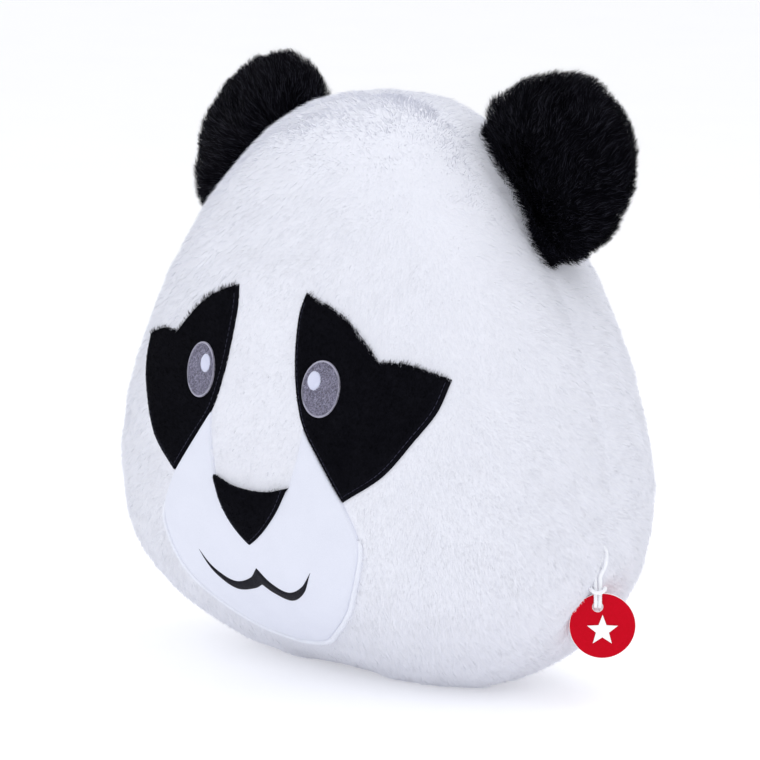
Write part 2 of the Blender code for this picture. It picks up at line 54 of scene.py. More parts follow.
# ---------- the frame's own dimensions
SEAM_Y = 0.005
FORM_CENTRE_Z = 0.130
FORM_SINK = 2.5 * MM
FACE_DEPTH, FACE_POWER = 0.098, 2.4
CHIN_SWELL, CHIN_SWELL_REACH = 0.125, 0.150
CHIN_TUCK, CHIN_TUCK_START, CHIN_TUCK_REACH = 0.48, -0.050, 0.080
BACK_DEPTH, BACK_POWER = 0.0825, 2.9
SEAM_OUTLINE = [
    (0.0000, 0.0000), (0.0545, 0.0010), (0.1030, 0.0140), (0.1475, 0.0515), (0.1652, 0.1055),
    (0.1550, 0.1645), (0.1300, 0.2190), (0.0935, 0.2695), (0.0470, 0.3078), (0.0000, 0.3180),
]
EYE_PATCH = [
    [(0.0262, 0.2221), (0.0503, 0.2132), (0.0655, 0.2018), (0.0775, 0.1904)],
    [(0.0775, 0.1904), (0.0885, 0.1907), (0.0990, 0.1890), (0.1155, 0.1838)],
    [(0.1155, 0.1838), (0.1120, 0.1672), (0.1030, 0.1520), (0.0880, 0.1320), (0.0650, 0.1160)],
    [(0.0650, 0.1160), (0.0495, 0.1350), (0.0355, 0.1528), (0.0285, 0.1715), (0.0250, 0.1900),
     (0.0238, 0.2100), (0.0262, 0.2221)],
]
MUZZLE_OUTER = [
    (0.0000, 0.0262), (0.0190, 0.0292), (0.0345, 0.0362), (0.0600, 0.0560), (0.0732, 0.0800),
    (0.0748, 0.0970), (0.0650, 0.1160),
]
MUZZLE_EYE_EDGE = [(0.0650, 0.1160), (0.0495, 0.1350), (0.0355, 0.1528)]
MUZZLE_BRIDGE_EDGE = [(0.0355, 0.1528), (0.0335, 0.1370), (0.0285, 0.1192)]
MUZZLE_TOP = [(0.0285, 0.1192), (0.014, 0.1135), (0.000, 0.1125)]
NOSE_TOP = [(0.000, 0.1143), (0.014, 0.1153), (0.0285, 0.1192)]
NOSE_SIDE = [(0.0285, 0.1192), (0.0225, 0.1066), (0.0150, 0.0968), (0.0070, 0.0895), (0.000, 0.0848)]
MOUTH_UPPER = [(0.000, 0.0724), (0.008, 0.0655), (0.021, 0.0617), (0.034, 0.0670), (0.0442, 0.0772)]
MOUTH_LOWER = [(0.0442, 0.0772), (0.035, 0.0641), (0.022, 0.0569), (0.008, 0.0590), (0.000, 0.0624)]
IRIS_CENTRE, IRIS_RADII = (0.0460, 0.1736), (0.0114, 0.0140)
HIGHLIGHT_CENTRE, HIGHLIGHT_RADII = (0.0417, 0.1776), (0.0041, 0.0049)
EAR_BASE_ENDS = ((0.0550, 0.0189, 0.3036), (0.1245, 0.0030, 0.2310))
EAR_RADIUS, EAR_DISC_CENTRE = 0.0530, 0.0235
EAR_HALF_THICKNESS, EAR_BASE_HALF_THICKNESS = 0.017, 1.2 * MM
EAR_TAPER, EAR_HINGE_HEIGHT, EAR_LEAN, EAR_CUP = 0.026, 9.0 * MM, math.radians(17), 0.6
TAG_TURN = math.radians(43.5)
TAG_CENTRE = Vector((0.1635, SEAM_Y, 0.0477))
TAG_RADIUS, TAG_THICKNESS, TAG_HOLE_RADIUS = 17.5 * MM, 1.2 * MM, 2.8 * MM
TAG_HOLE = Vector((-2.6 * MM, 10.3 * MM))
CORD_DIAMETER = 2.1 * MM
CORD_EXIT = Vector((0.1656, SEAM_Y, 0.0880))
CORD_SPLIT_Z = 0.0710
FULLNESS = 0.014
SIDES = (("left", 1), ("right", -1))

# ---------- dimensions of the looks
PATCH_HEIGHT, PATCH_GROOVE_INSET = 1.9 * MM, 2.2 * MM
IRIS_STITCHES, RIM_STITCHES = 2100, 210
MUZZLE_RISE, MUZZLE_CROWN = 1.5 * MM, 1.2 * MM
NOSE_LIFT, NOSE_GROOVE_INSET = 2.0 * MM, 1.8 * MM
WHITE_DENSITY, PATCH_DENSITY, BLACK_DENSITY = 1.5e6, 2.2e6, 2.4e6
WHITE_LENGTH, BRIDGE_LENGTH, EAR_LENGTH = 6.2 * MM, 3.0 * MM, 8.2 * MM
BLADE_WIDTH, NOSE_BLADE_WIDTH = 0.30 * MM, 0.28 * MM
PILE_SPLIT_Z, PILE_FLOOR = 0.160, 0.4 * MM
# The cord's points in the tag's own frame, in millimetres: across from the hole, up, and out of the card.
# The first two count their height from the point where the strands part, the others from the hole.
CORD_PARTING = [(-1.30, -0.3, 0.0), (-1.25, -2.2, 0.6)]
HITCH_PATH = [
    (-1.15, 7.0, 1.4), (-1.10, 4.0, 2.0), (-1.10, 1.6, 1.9), (-1.10, 0.0, 0.0), (-1.20, 1.6, -1.9),
    (-1.70, 5.0, -2.1), (-2.80, 8.6, -1.6), (-3.90, 10.0, 0.4), (-3.40, 9.4, 2.9), (-1.60, 8.4, 4.1),
]
HITCH_CROSSING = (0.0, 8.2, 4.2)


def catmull_rom(points, steps):
    ring = [np.array(p, float) for p in points]
    ring = [2 * ring[0] - ring[1], *ring, 2 * ring[-1] - ring[-2]]
    line = []
    for a, b, c, d in zip(ring, ring[1:], ring[2:], ring[3:]):
        for t in np.arange(steps) / steps:
            line.append(0.5 * (2 * b + (c - a) * t + (2 * a - 5 * b + 4 * c - d) * t**2
                               + (3 * b - a - 3 * c + d) * t**3))
    return line + [ring[-2]]


# ---------- camera
TARGET = Vector((0, SEAM_Y, 0.160))
AZIMUTH, ELEVATION, DISTANCE = math.radians(44.5), math.radians(9.43), 2.037
camera_data = bpy.data.cameras.new("camera")
camera_data.lens, camera_data.sensor_width = 174.4, 36
camera_data.shift_x = -0.0018
camera = bpy.data.objects.new("camera", camera_data)
bpy.context.scene.collection.objects.link(camera)
bpy.context.scene.camera = camera
away = Vector((math.sin(AZIMUTH) * math.cos(ELEVATION), -math.cos(AZIMUTH) * math.cos(ELEVATION),
               math.sin(ELEVATION)))
camera.location = TARGET + DISTANCE * away
camera.rotation_euler = (-away).to_track_quat("-Z", "Y").to_euler()
camera_data.clip_start, camera_data.clip_end = 0.05, 100


# ---------- materials
def principled(name, colour, roughness, sheen=0.0, specular=0.5):
    material = bpy.data.materials.new(name)
    material.use_nodes = True
    shader = material.node_tree.nodes["Principled BSDF"]
    shader.inputs["Base Color"].default_value = (*colour, 1)
    shader.inputs["Roughness"].default_value = roughness
    shader.inputs["Specular IOR Level"].default_value = specular
    shader.inputs["Sheen Weight"].default_value = sheen
    shader.inputs["Sheen Roughness"].default_value = 0.4
    return material, shader


def woven(name, dark, light, roughness, scale, bump, sheen=0.0, specular=0.3, stretch=(1, 1, 1)):
    """Fabric or thread: two tints mixed by fine noise, with a fine relief of the same grain."""
    material, shader = principled(name, dark, roughness, sheen, specular)
    tree = material.node_tree

    def node(kind, **values):
        made = tree.nodes.new("ShaderNode" + kind)
        for key, value in values.items():
            made.inputs[key].default_value = value
        return made

    coordinates = node("TexCoord")
    mapping = node("Mapping", Scale=stretch)
    grain = node("TexNoise", Scale=scale, Detail=4, Roughness=0.65)
    broad = node("TexNoise", Scale=scale / 22, Detail=2)
    average = node("Math")
    average.operation = "MULTIPLY_ADD"
    average.inputs[1].default_value = 0.45
    ramp = node("ValToRGB")
    for end, position, tint in zip(ramp.color_ramp.elements, (0.34, 0.86), (dark, light)):
        end.position, end.color = position, (*tint, 1)
    relief = node("Bump", Strength=bump, Distance=0.0004)
    link = tree.links.new
    link(coordinates.outputs["Object"], mapping.inputs["Vector"])
    link(mapping.outputs["Vector"], grain.inputs["Vector"])
    link(mapping.outputs["Vector"], broad.inputs["Vector"])
    link(broad.outputs["Fac"], average.inputs[0])
    link(grain.outputs["Fac"], average.inputs[2])
    link(average.outputs["Value"], ramp.inputs["Fac"])
    link(ramp.outputs["Color"], shader.inputs["Base Color"])
    link(grain.outputs["Fac"], relief.inputs["Height"])
    link(relief.outputs["Normal"], shader.inputs["Normal"])
    return material


UNDERCOAT = woven("white_undercoat", (0.72, 0.73, 0.80), (0.80, 0.81, 0.88), 0.9, 900, 0.5, 0.2)
VELOUR = woven("white_velour", (0.685, 0.705, 0.80), (0.735, 0.755, 0.85), 0.85, 1500, 0.35, 0.1, 0.1)
SATIN_WHITE = woven("white_satin_thread", (0.70, 0.72, 0.80), (0.80, 0.82, 0.90), 0.42, 2600, 0.25, 0.1)
BLACK_CLOTH = woven("black_short_plush", (0.002, 0.002, 0.0035), (0.006, 0.006, 0.009), 0.9, 1400, 0.6,
                    specular=0.03)
BLACK_UNDER = woven("black_undercoat", (0.0015, 0.0015, 0.0025), (0.004, 0.004, 0.006), 0.9, 900, 0.5,
                    specular=0.02)
BLACK_THREAD = woven("black_thread", (0.006, 0.006, 0.012), (0.030, 0.030, 0.055), 0.5, 2500, 0.3,
                     specular=0.15)
BLACK_SATIN = woven("black_satin_thread", (0.003, 0.003, 0.006), (0.010, 0.010, 0.016), 0.5, 2400, 0.4,
                    specular=0.08, stretch=(3, 3, 0.4))
IRIS_BASE = woven("iris_base", (0.15, 0.14, 0.20), (0.30, 0.29, 0.38), 0.6, 1800, 0.4)
RIM_THREAD = woven("iris_rim_thread", (0.26, 0.25, 0.33), (0.48, 0.47, 0.58), 0.5, 2200, 0.4)
GLINT_THREAD = woven("eye_highlight_thread", (0.58, 0.60, 0.76), (0.70, 0.72, 0.87), 0.5, 2600, 0.25,
                     specular=0.1)
TAG_CARD = woven("tag_card_red", (0.50, 0.0003, 0.009), (0.56, 0.0006, 0.013), 0.45, 700, 0.04,
                 specular=0.06)
TAG_RIM = woven("tag_card_core", (0.80, 0.76, 0.76), (0.95, 0.92, 0.92), 0.8, 1600, 0.3)
TAG_PRINT = woven("tag_white_print", (0.88, 0.87, 0.88), (0.97, 0.97, 0.98), 0.45, 900, 0.1)
CORD_THREAD = woven("cord_thread", (0.80, 0.81, 0.86), (0.95, 0.96, 0.99), 0.6, 3200, 0.5)
FLOOR = woven("pale_floor", (0.90, 0.90, 0.91), (0.93, 0.93, 0.94), 0.8, 6, 0.02)
WHITE_PILE = [principled(f"white_pile_{i}", c, 0.8, 0.1, 0.1)[0] for i, c in enumerate(
    [(0.785, 0.795, 0.865), (0.77, 0.782, 0.855), (0.80, 0.808, 0.872), (0.752, 0.765, 0.845)])]
# Black ear pile in three tints; the third, lighter and bluer, is a painted glint on some fibres, besides its
# real higher specular.
BLACK_PILE = [principled(f"black_pile_{i}", c, r, 0.0, s)[0] for i, (c, r, s) in enumerate([
    ((0.0015, 0.0015, 0.003), 0.7, 0.02), ((0.003, 0.003, 0.006), 0.6, 0.06),
    ((0.008, 0.008, 0.018), 0.45, 0.22)])]
BLACK_NAP = [principled(f"black_nap_{i}", c, 0.85, 0.0, 0.03)[0] for i, c in enumerate(
    [(0.002, 0.002, 0.003), (0.005, 0.005, 0.008)])]
IRIS_THREADS = [principled(f"iris_thread_{i}", c, 0.45, 0.1, 0.4)[0] for i, c in enumerate(
    [(0.11, 0.105, 0.15), (0.22, 0.21, 0.30), (0.40, 0.39, 0.53)])]


# ---------- meshes from arrays
def link_mesh(name, mesh, materials):
    obj = bpy.data.objects.new(name, mesh)
    bpy.context.scene.collection.objects.link(obj)
    for material in materials:
        mesh.materials.append(material)
    return obj


def built(bm, name, materials=(), place=None):
    """The object that this bmesh becomes."""
    mesh = bpy.data.meshes.new(name)
    bm.to_mesh(mesh)
    bm.free()
    if place:
        mesh.transform(place)
    return link_mesh(name, mesh, materials)


def array_mesh(name, points, faces, materials, slots=None, normals=None):
    """A mesh from point and face arrays; every face has the same number of corners."""
    mesh = bpy.data.meshes.new(name)
    faces = np.asarray(faces, np.int32)
    count, corners = faces.shape
    mesh.vertices.add(len(points))
    mesh.vertices.foreach_set("co", np.asarray(points, np.float32).ravel())
    mesh.loops.add(count * corners)
    mesh.loops.foreach_set("vertex_index", faces.ravel())
    mesh.polygons.add(count)
    mesh.polygons.foreach_set("loop_start", np.arange(count, dtype=np.int32) * corners)
    mesh.polygons.foreach_set("use_smooth", np.full(count, True))
    if slots is not None:
        mesh.polygons.foreach_set("material_index", np.asarray(slots, np.int32))
    mesh.update(calc_edges=True)
    if normals is not None:
        mesh.normals_split_custom_set_from_vertices(normals)
    return link_mesh(name, mesh, materials)


def vertex_values(obj, key):
    values = np.zeros(len(obj.data.vertices) * 3)
    obj.data.vertices.foreach_get(key, values)
    return values.reshape(-1, 3)


def mesh_arrays(obj):
    """Corner points and corner normals of an object's triangles."""
    obj.data.calc_loop_triangles()
    triangles = np.zeros(len(obj.data.loop_triangles) * 3, np.int32)
    obj.data.loop_triangles.foreach_get("vertices", triangles)
    triangles = triangles.reshape(-1, 3)
    return vertex_values(obj, "co")[triangles], vertex_values(obj, "normal")[triangles]


def unit(v):
    return v / np.maximum(np.linalg.norm(v, axis=-1, keepdims=True), 1e-12)


def circle(angles):
    return np.stack([np.cos(angles), np.sin(angles)], 1)


def line_lengths(line):
    """How far along the line each of its points is."""
    return np.concatenate([[0], np.cumsum(np.linalg.norm(np.diff(line, axis=0), axis=1))])


def points_along(line, at):
    """Points of the line at these distances along it."""
    s = line_lengths(line)
    return np.stack([np.interp(at, s, line[:, i]) for i in range(line.shape[1])], -1)


def kept(chosen, *arrays):
    return [a[chosen] for a in arrays]


def tube_faces(index):
    """Quads round a tube whose rings of point numbers are the rows of index."""
    a, b = index[..., :-1, :], index[..., 1:, :]
    return np.stack([a, np.roll(a, -1, -1), np.roll(b, -1, -1), b], -1).reshape(-1, 4)


def strand_mesh(name, lines, radius, materials, sides=5, slots=None, taper=0.6):
    """Short threads: each line of points gets its own little tube, thinner at its ends."""
    lines = np.asarray(lines, float)
    count, steps, _ = lines.shape
    along = unit(np.gradient(lines, axis=1))
    helper = np.where(np.abs(along[..., :1]) < 0.8, [[[1.0, 0, 0]]], [[[0, 1.0, 0]]])
    u = unit(np.cross(along, helper))
    v = np.cross(along, u)
    angle = np.arange(sides) * 2 * math.pi / sides
    thick = np.ones(steps)
    thick[[0, -1]] = taper
    radii = np.broadcast_to(np.asarray(radius, float).reshape(-1, 1), (count, steps)) * thick
    ring = (u[:, :, None] * np.cos(angle)[:, None] + v[:, :, None] * np.sin(angle)[:, None])
    points = lines[:, :, None] + ring * radii[:, :, None, None]
    faces = tube_faces(np.arange(count * steps * sides).reshape(count, steps, sides))
    face_slots = None if slots is None else np.repeat(slots, (steps - 1) * sides)
    return array_mesh(name, points.reshape(-1, 3), faces, materials, face_slots)


# ---------- head form and its simulation
def outline_angles():
    ring = ([(-x, z) for x, z in SEAM_OUTLINE[1:3][::-1]] + SEAM_OUTLINE
            + [(-x, z) for x, z in SEAM_OUTLINE[-3:-1][::-1]])
    points = np.array(catmull_rom(ring, 12))[24:-24]
    z = points[:, 1] - FORM_CENTRE_Z
    return np.arctan2(z, np.maximum(points[:, 0], 0)), np.hypot(points[:, 0], z)


SEAM_ANGLES, SEAM_RADII = outline_angles()


def head_form(segments, rings):
    bm = bmesh.new()
    bmesh.ops.create_uvsphere(bm, u_segments=segments, v_segments=rings, radius=1)
    for vertex in bm.verts:
        across, up, ahead = vertex.co
        depth, power = (FACE_DEPTH, FACE_POWER) if ahead > 0 else (BACK_DEPTH, BACK_POWER)
        out = math.hypot(across, up)
        share = min(out, 1) ** (2 / power) if out > 1e-6 else 0
        scale = share * np.interp(math.atan2(up, abs(across)), SEAM_ANGLES, SEAM_RADII) / max(out, 1e-6)
        across, up = across * scale, up * scale
        y = -depth * math.copysign(max(1 - share**power, 0) ** (1 / power), ahead)
        if ahead > 0:
            tuck = CHIN_TUCK * min(max((CHIN_TUCK_START - up) / CHIN_TUCK_REACH, 0), 1)**2
            y *= (1 - CHIN_SWELL * up / CHIN_SWELL_REACH) * (1 - tuck)
        fullness = 1 + FULLNESS * share**1.5 * min(max((up + 0.115) / 0.05, 0), 1)
        vertex.co = (across * fullness, y * fullness + SEAM_Y,
                     max(FORM_CENTRE_Z + up * fullness - FORM_SINK, 0))
    bmesh.ops.recalc_face_normals(bm, faces=bm.faces)
    return built(bm, "head_form")


def apply_modifiers(obj):
    graph = bpy.context.evaluated_depsgraph_get()
    mesh = bpy.data.meshes.new_from_object(obj.evaluated_get(graph))
    obj.modifiers.clear()
    obj.data = mesh


def plump(obj, voxel, pressure, cap, floor=None):
    """Sews the form's skin as cloth and fills it: each point then moves by at most cap from its form."""
    remesh = obj.modifiers.new("remesh", "REMESH")
    remesh.mode = "VOXEL"
    remesh.voxel_size = voxel
    apply_modifiers(obj)
    rest = vertex_values(obj, "co")
    cloth = obj.modifiers.new("cloth", "CLOTH")
    cloth.settings.quality = 6
    cloth.settings.use_pressure = True
    cloth.settings.uniform_pressure_force = pressure
    cloth.settings.effector_weights.gravity = 0
    cloth.settings.tension_stiffness = 15
    cloth.settings.bending_stiffness = 0.6
    cloth.point_cache.frame_start, cloth.point_cache.frame_end = 1, 20
    for step in range(1, 21):
        bpy.context.scene.frame_set(step)
        bpy.context.view_layer.update()
    apply_modifiers(obj)
    bpy.context.scene.frame_set(1)
    move = vertex_values(obj, "co") - rest
    move -= move.mean(0)
    far = np.linalg.norm(move, axis=1)
    move *= (cap * np.tanh(far / cap) / np.maximum(far, 1e-9))[:, None]
    now = rest + move
    if floor is not None:
        now[:, 2] = np.maximum(now[:, 2], floor)
    obj.data.vertices.foreach_set("co", now.astype(np.float32).ravel())
    smooth = obj.modifiers.new("smooth", "SMOOTH")
    smooth.factor, smooth.iterations = 0.5, 3
    fine = obj.modifiers.new("fine", "SUBSURF")
    fine.levels = fine.render_levels = 2
    apply_modifiers(obj)
    obj.data.shade_smooth()
    return obj


head_skin = plump(head_form(128, 72), 6 * MM, 4, 4 * MM, floor=0.0)


def dent(obj, depth_of):
    """Moves the points in along their normals by depth_of(points)."""
    points = vertex_values(obj, "co")
    points = points - vertex_values(obj, "normal") * depth_of(points)[:, None]
    points[:, 2] = np.maximum(points[:, 2], 0.2 * MM)
    obj.data.vertices.foreach_set("co", points.astype(np.float32).ravel())
    obj.data.update()


def seam_groove(points):
    x, y = points[:, 0], points[:, 1] - SEAM_Y
    lower = np.clip((0.30 - points[:, 2]) / 0.05, 0.25, 1)
    groove = 1.5 * MM * lower * np.exp(-(y / (3.2 * MM))**2)
    middle = 1.2 * MM * np.exp(-(x / (3.0 * MM))**2) * np.clip(y / (20 * MM), 0, 1)
    return groove + middle


dent(head_skin, seam_groove)


# ---------- relief of the face
class Relief:
    """The face's y over the frontal plane, from rays, smoothed, with its slopes."""

    step = 1.0 * MM

    def __init__(self, obj):
        graph = bpy.context.evaluated_depsgraph_get()
        tree = BVHTree.FromObject(obj, graph)
        self.x = np.arange(-0.128, 0.1281, self.step)
        self.z = np.arange(0.004, 0.245, self.step)
        y = np.full((len(self.x), len(self.z)), SEAM_Y)
        for i, x in enumerate(self.x):
            for j, z in enumerate(self.z):
                hit = tree.ray_cast(Vector((x, -1, z)), Vector((0, 1, 0)))[0]
                if hit is not None:
                    y[i, j] = hit.y
        for _ in range(6):
            wide = np.pad(y, 1, mode="edge")
            y = (wide[:-2, 1:-1] + wide[2:, 1:-1] + wide[1:-1, :-2] + wide[1:-1, 2:] + 4 * y) / 8
        self.y = y
        self.slope_x, self.slope_z = np.gradient(y, self.step)

    def pick(self, grid, x, z):
        u = np.clip((x - self.x[0]) / self.step, 0, len(self.x) - 1.001)
        v = np.clip((z - self.z[0]) / self.step, 0, len(self.z) - 1.001)
        i, j = u.astype(int), v.astype(int)
        u, v = u - i, v - j
        return ((grid[i, j] * (1 - u) + grid[i + 1, j] * u) * (1 - v)
                + (grid[i, j + 1] * (1 - u) + grid[i + 1, j + 1] * u) * v)

    def normal(self, x, z):
        slopes = np.stack([self.pick(self.slope_x, x, z), -np.ones_like(x),
                           self.pick(self.slope_z, x, z)], -1)
        return unit(slopes)

    def place(self, plane, height):
        """Points at this height over the face, from x and z of the outlines' frontal plane."""
        plane = np.asarray(plane, float)
        x, z = plane[..., 0], plane[..., 1] - FORM_SINK
        points = np.stack([x, self.pick(self.y, x, z), z], -1)
        return points + self.normal(x, z) * np.asarray(height)[..., None]


face = Relief(head_skin)


def outline(runs, mirrored=False, steps=8):
    """A closed outline as an array of points, and the run that each of its sides belongs to."""
    points, owner = [], []
    for number, run in enumerate(runs):
        line = catmull_rom(run, steps)[:-1]
        points += line
        owner += [number] * len(line)
    if mirrored:
        end = np.array(runs[-1][-1], float)
        half, half_owner = points + [end], list(owner)
        points = half + [np.array((-p[0], p[1])) for p in reversed(half[1:-1])]
        owner = half_owner + half_owner[::-1]
    return np.array(points), np.array(owner)


def edge_distance(plane, ring):
    """Distance to the closed outline, below zero inside it, and the nearest side's number."""
    a, b = ring, np.roll(ring, -1, 0)
    best = np.full(len(plane), 1e9)
    nearest = np.zeros(len(plane), int)
    inside = np.zeros(len(plane), bool)
    for k in range(len(a)):
        ab = b[k] - a[k]
        t = np.clip(((plane - a[k]) @ ab) / (ab @ ab), 0, 1)
        d = np.hypot(*(plane - a[k] - t[:, None] * ab).T)
        closer = d < best
        best[closer], nearest[closer] = d[closer], k
        crosses = (a[k, 1] > plane[:, 1]) != (b[k, 1] > plane[:, 1])
        if ab[1]:
            inside ^= crosses & (plane[:, 0] < a[k, 0] + (plane[:, 1] - a[k, 1]) * ab[0] / ab[1])
    return np.where(inside, -best, best), nearest


PATCH, PATCH_RUN = outline(EYE_PATCH)
MUZZLE, MUZZLE_RUN = outline([MUZZLE_OUTER, MUZZLE_EYE_EDGE, MUZZLE_BRIDGE_EDGE, MUZZLE_TOP], True)
NOSE, NOSE_RUN = outline([NOSE_TOP, NOSE_SIDE], True)
MOUTH = outline([MOUTH_UPPER, MOUTH_LOWER], True)[0]
HAIRY_RUNS = 2


def resampled(ring, step):
    closed = np.vstack([ring, ring[:1]])
    s = line_lengths(closed)
    t = np.linspace(0, s[-1], max(int(s[-1] / step), 8), endpoint=False)
    corner = s[:-1]
    t[np.abs(t[:, None] - corner[None]).argmin(0)] = corner
    return points_along(closed, np.unique(t))


def inward_of(edge, ring):
    """Unit directions into the closed ring from points on its edge."""
    tangent = unit(np.roll(edge, -1, 0) - np.roll(edge, 1, 0))
    inward = np.stack([-tangent[:, 1], tangent[:, 0]], 1)
    return -inward if edge_distance(edge[:1] + inward[:1] * 0.1 * MM, ring)[0][0] > 0 else inward


def plate(name, ring, height_of, spacing, ring_steps, material, skirt=1.0 * MM, lift=0.0):
    """A thin piece lying on the face: height_of(distance inside its edge, points) is its relief.

    ring_steps are the distances in millimetres of the rows of points that follow its edge."""
    edge = resampled(ring, spacing / 2)
    inner = [edge]
    inward = inward_of(edge, ring)
    rings = [step * MM for step in ring_steps]
    for distance in rings:
        row = edge + inward * distance
        inner.append(row[edge_distance(row, ring)[0] < -0.93 * distance])
    low, high = ring.min(0), ring.max(0)
    grid = np.stack(np.meshgrid(np.arange(low[0], high[0], spacing),
                                np.arange(low[1], high[1], spacing * 0.87)), -1)
    grid[1::2, :, 0] += spacing / 2
    grid = grid.reshape(-1, 2)
    deep = edge_distance(grid, ring)[0] < -(max(rings) + 0.6 * spacing)
    flat = np.vstack(inner + [grid[deep]])
    count = len(edge)
    loop = [(i, (i + 1) % count) for i in range(count)]
    made = geometry.delaunay_2d_cdt([Vector(p) for p in flat], loop, [], 1, 1e-7)
    flat = np.array([tuple(p) for p in made[0]])
    triangles = np.array([t for t in made[2] if len(t) == 3])
    inside = np.maximum(-edge_distance(flat, ring)[0], 0)
    points = face.place(flat, height_of(inside, flat) + lift)
    loop_ids = [next(i for i, o in enumerate(made[3]) if k in o) for k in range(count)]
    below = face.place(edge, np.full(count, lift - skirt))
    base = len(points)
    points = np.vstack([points, below])
    wall = []
    for k in range(count):
        a, b = loop_ids[k], loop_ids[(k + 1) % count]
        wall += [(a, b, base + (k + 1) % count), (a, base + (k + 1) % count, base + k)]
    triangles = np.vstack([triangles, wall])
    obj = array_mesh(name, points, triangles, [material])
    bm = bmesh.new()
    bm.from_mesh(obj.data)
    bmesh.ops.recalc_face_normals(bm, faces=bm.faces)
    if sum(f.normal.y * f.calc_area() for f in bm.faces) > 0:
        bmesh.ops.reverse_faces(bm, faces=bm.faces)
    bm.to_mesh(obj.data)
    bm.free()
    obj.data.shade_smooth()
    return obj


# ---------- appliques and embroidery
def on_head(obj, node=None):
    """Hides the CAD node that the piece replaces, if one is given, and lets the piece ride on the head."""
    if node:
        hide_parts(node)
    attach(obj, "head")
    return obj


def swell(d, height, shoulder):
    """Rises with the distance from the edge, steeply at first, to this height."""
    return height * (1 - np.exp(-d / shoulder))


def groove(d, depth, inset, width):
    return depth * np.exp(-((d - inset) / width)**2)


def flipped(ring, sign):
    return ring if sign > 0 else (ring * (-1, 1))[::-1]


def patch_height(sign):
    def height(d, flat):
        stitched = PATCH_RUN[edge_distance(flat * (sign, 1), PATCH)[1]] >= HAIRY_RUNS
        return swell(d, PATCH_HEIGHT, 0.45 * MM) \
            - groove(d, 0.7 * MM, PATCH_GROOVE_INSET, 0.45 * MM) * stitched
    return height


def muzzle_height(d, flat):
    """Low at the edges and gently plump over the cheeks."""
    return swell(d, MUZZLE_RISE, 0.5 * MM) + swell(d, MUZZLE_CROWN, 9 * MM)


def nose_height(d, flat):
    stitched = NOSE_RUN[edge_distance(flat, NOSE)[1]] > 0
    return swell(d, 1.6 * MM, 0.45 * MM) + swell(d, 1.0 * MM, 6 * MM) \
        - groove(d, 0.6 * MM, NOSE_GROOVE_INSET, 0.4 * MM) * stitched


def mouth_height(d, flat):
    return 0.9 * MM * np.sqrt(np.clip(d / (1.6 * MM), 0, 1)) \
        + 0.05 * MM * np.sin(flat[:, 0] * 2 * math.pi / (0.8 * MM))


def stitch_line(name, line, height, radius, pitch, gap):
    """A row of stitches along a line of the frontal plane, each dipping into the cloth at its ends."""
    length = line_lengths(line)[-1]
    count = int(length / pitch)
    t = np.linspace(0, 1, 5)
    at = (np.arange(count) * length / count)[:, None] + (length / count - gap) * t
    rise = height + 0.25 * MM * (1 - (2 * t - 1)**4) - 0.2 * MM
    lines = face.place(points_along(line, at), np.broadcast_to(rise, at.shape))
    return strand_mesh(name, lines, radius, [BLACK_THREAD], 6, taper=0.55)


def eye_patch(side, sign):
    patch = plate(f"eye_patch_cloth_{side}", flipped(PATCH, sign), patch_height(sign), 1.6 * MM,
                  [0.3, 0.8, 1.4, 1.8, 2.2, 2.6, 3.2], BLACK_CLOTH)
    inset = PATCH + inward_of(PATCH, PATCH) * PATCH_GROOVE_INSET
    line = inset[PATCH_RUN >= HAIRY_RUNS][1:-2] * (sign, 1)
    thread = stitch_line(f"eye_patch_seam_{side}", line, PATCH_HEIGHT - 0.35 * MM, 0.28 * MM, 3.0 * MM,
                         0.45 * MM)
    on_head(thread, f"eye_patch_stitching_{side}")
    return on_head(patch, f"eye_patch_{side}")


def iris(side, sign):
    """The grey ground, its short stitches that lie every way, and the rim sewn over its edge."""
    centre = np.array(IRIS_CENTRE) * (sign, 1)
    ring = centre + circle(np.arange(96) * 2 * math.pi / 96) * IRIS_RADII
    ground = plate(f"iris_base_{side}", ring, lambda d, flat: swell(d, 0.6 * MM, 0.5 * MM), 1.2 * MM,
                   [0.3, 0.8], IRIS_BASE, lift=PATCH_HEIGHT)
    on_head(ground, f"iris_{side}")

    count = IRIS_STITCHES
    radius = np.sqrt(RNG.random(count)) * 0.97
    middle = centre + circle(RNG.random(count) * 2 * math.pi) * radius[:, None] * IRIS_RADII
    lean = RNG.normal(0.9, 0.55, count)
    half = RNG.uniform(0.35, 0.75, count)[:, None] * MM * circle(lean)
    t = np.linspace(-1, 1, 4)
    flat = middle[:, None] + half[:, None] * t[:, None]
    rise = PATCH_HEIGHT + 0.62 * MM + 0.14 * MM * (1 - t**2) + RNG.uniform(0, 0.12, (count, 1)) * MM
    tints = RNG.choice(3, count, p=[0.34, 0.4, 0.26])
    on_head(strand_mesh(f"iris_stitches_{side}", face.place(flat, rise), 0.17 * MM, IRIS_THREADS, 4, tints,
                        0.5))

    spoke = circle(np.arange(RIM_STITCHES) * 2 * math.pi / RIM_STITCHES)
    t = np.linspace(-1, 1, 6)
    flat = centre + spoke[:, None] * (np.array(IRIS_RADII) + 0.35 * MM) \
        + spoke[:, None] * t[:, None] * 0.5 * MM
    flat[..., 0] += RNG.normal(0, 0.04 * MM, (RIM_STITCHES, 1))
    rise = PATCH_HEIGHT - 0.05 * MM + 0.85 * MM * np.sqrt(np.maximum(1 - t**2, 0))
    lines = face.place(flat, np.broadcast_to(rise, flat.shape[:2]))
    on_head(strand_mesh(f"iris_rim_stitches_{side}", lines, 0.24 * MM, [RIM_THREAD]),
            f"iris_rim_{side}")


